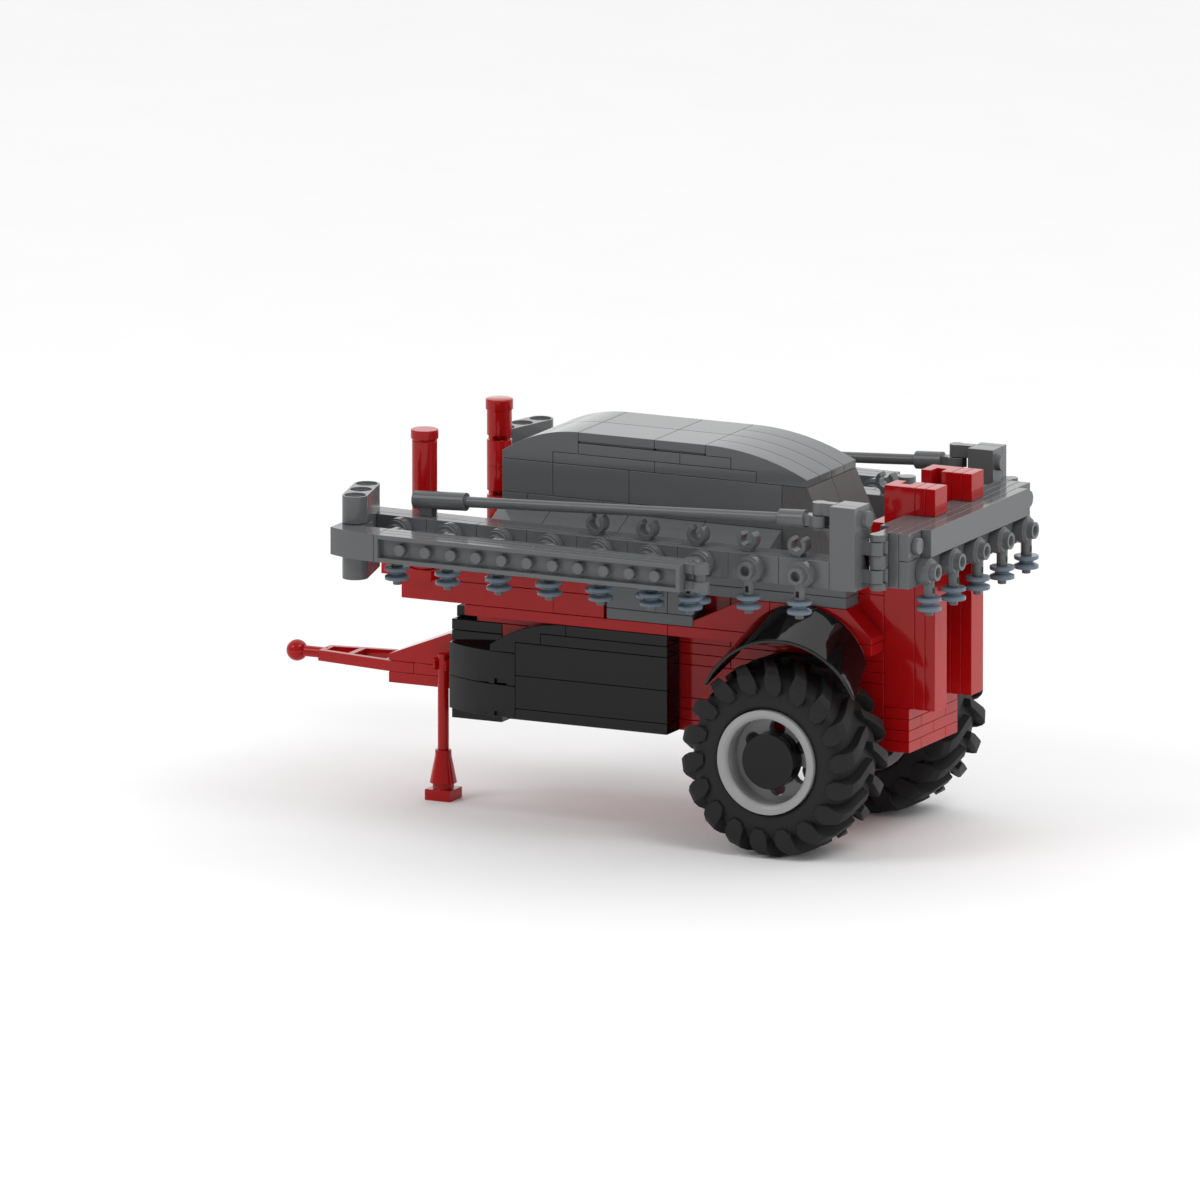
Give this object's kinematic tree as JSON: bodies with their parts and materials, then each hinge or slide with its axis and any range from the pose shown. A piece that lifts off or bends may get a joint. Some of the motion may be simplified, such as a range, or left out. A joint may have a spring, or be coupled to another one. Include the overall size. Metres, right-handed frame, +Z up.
{
  "type": "grain cart",
  "caption": "Brick-built toy grain cart: closed hopper on a two-wheeled trailer with drawbar, jack, side tanks and folding nozzle booms on both sides.",
  "frame": {"origin": "on the ground under the middle of the bounding box, both wheels and the jack's foot standing on it", "axes": "+X forward along the drawbar to the tow ball, +Y to the left side, which has the jack, +Z up"},
  "size_m": [0.2214, 0.144, 0.1111],
  "materials": {
    "red_bricks": "gloss moulded plastic, deep red",
    "grey_bricks": "gloss moulded plastic, dark bluish grey",
    "rough_grey_bricks": "rough textured slope faces, dark grey",
    "black_bricks": "gloss moulded plastic, black",
    "nozzle_rings": "satin moulded plastic, blue grey",
    "tyres": "matt rubber",
    "rims": "gloss moulded plastic, light grey",
    "axle": "gloss moulded plastic, light grey"
  },
  "bodies": {
    "chassis": {"lower_body": "red_bricks", "chassis_core": "red_bricks", "platform_plates": "red_bricks", "side_panels": "red_bricks", "arch_bricks": "red_bricks", "tower_core": "red_bricks", "columns": "red_bricks", "drawbar_bricks": "red_bricks", "drawbar_frame": "red_bricks", "jack_clip": "red_bricks", "mast_left": "red_bricks", "mast_right": "red_bricks", "deck_bricks": "grey_bricks", "hopper_skirts": "grey_bricks", "hopper_walls": "grey_bricks", "hopper_steps": "grey_bricks", "hopper_tiles": "grey_bricks", "hopper_curves": "grey_bricks", "rear_beam": "grey_bricks", "rear_fascia": "grey_bricks", "rear_nozzles": "grey_bricks", "hinge_bar_left": "grey_bricks", "hinge_bar_right": "grey_bricks", "tank_bricks": "black_bricks", "tank_corners": "black_bricks", "front_plates": "black_bricks", "mudguard_left": "black_bricks", "mudguard_right": "black_bricks", "hopper_rear_slopes": "rough_grey_bricks", "wheel_axle": "axle", "rear_pulleys": "nozzle_rings"},
    "jack": {"jack_leg": "red_bricks", "jack_bar": "red_bricks"},
    "wheel_left": {"tyre_left": "tyres", "rim_left": "rims", "hub_cap_left": "black_bricks"},
    "inner_boom_left": {"inner_boom_beam_left": "grey_bricks", "inner_boom_post_left": "grey_bricks", "inner_boom_clips_left": "grey_bricks", "stay_rod_left": "grey_bricks", "inner_nozzles_left": "grey_bricks", "inner_pulleys_left": "nozzle_rings"},
    "link_left": {"link_arm_left": "grey_bricks"},
    "outer_boom_left": {"outer_boom_left": "grey_bricks", "outer_nozzles_left": "grey_bricks", "outer_pulleys_left": "nozzle_rings"},
    "wheel_right": {"tyre_right": "tyres", "rim_right": "rims", "hub_cap_right": "black_bricks"},
    "inner_boom_right": {"inner_boom_beam_right": "grey_bricks", "inner_boom_post_right": "grey_bricks", "inner_boom_clips_right": "grey_bricks", "stay_rod_right": "grey_bricks", "inner_nozzles_right": "grey_bricks", "inner_pulleys_right": "nozzle_rings"},
    "link_right": {"link_arm_right": "grey_bricks"},
    "outer_boom_right": {"outer_boom_right": "grey_bricks", "outer_nozzles_right": "grey_bricks", "outer_pulleys_right": "nozzle_rings"}
  },
  "joints": [
    {"name": "jack_slide", "type": "slide", "parent": "chassis", "child": "jack", "axis": [0, 0, 1], "range_m": [0, 0.016]},
    {"name": "wheel_left_spin", "type": "hinge", "parent": "chassis", "child": "wheel_left", "pos_m": [-0.06223, 0.032, 0.028], "axis": [0, 1, 0], "continuous": true},
    {"name": "inner_boom_left_fold", "type": "hinge", "parent": "chassis", "child": "inner_boom_left", "pos_m": [-0.09663, 0.0432, 0.0888], "axis": [0, 0, 1], "range_deg": [0, 91.5]},
    {"name": "link_left_turn", "type": "hinge", "parent": "inner_boom_left", "child": "link_left", "pos_m": [0.06345, 0.04395, 0.0848], "axis": [0, 0, -1], "range_deg": [0, 90]},
    {"name": "outer_boom_left_fold", "type": "hinge", "parent": "link_left", "child": "outer_boom_left", "pos_m": [0.05944, 0.05944, 0.0848], "axis": [0, 0, -1], "range_deg": [0, 90]},
    {"name": "wheel_right_spin", "type": "hinge", "parent": "chassis", "child": "wheel_right", "pos_m": [-0.06223, -0.032, 0.028], "axis": [0, 1, 0], "continuous": true},
    {"name": "inner_boom_right_fold", "type": "hinge", "parent": "chassis", "child": "inner_boom_right", "pos_m": [-0.09663, -0.0432, 0.0888], "axis": [0, 0, -1], "range_deg": [0, 91.5]},
    {"name": "link_right_turn", "type": "hinge", "parent": "inner_boom_right", "child": "link_right", "pos_m": [0.06345, -0.04395, 0.0848], "axis": [0, 0, 1], "range_deg": [0, 90]},
    {"name": "outer_boom_right_fold", "type": "hinge", "parent": "link_right", "child": "outer_boom_right", "pos_m": [0.05944, -0.05944, 0.0848], "axis": [0, 0, 1], "range_deg": [0, 90]}
  ],
  "couplings": [
    {"joint": "link_left_turn", "follows": "outer_boom_left_fold", "ratio": 1},
    {"joint": "link_right_turn", "follows": "outer_boom_right_fold", "ratio": 1}
  ]
}
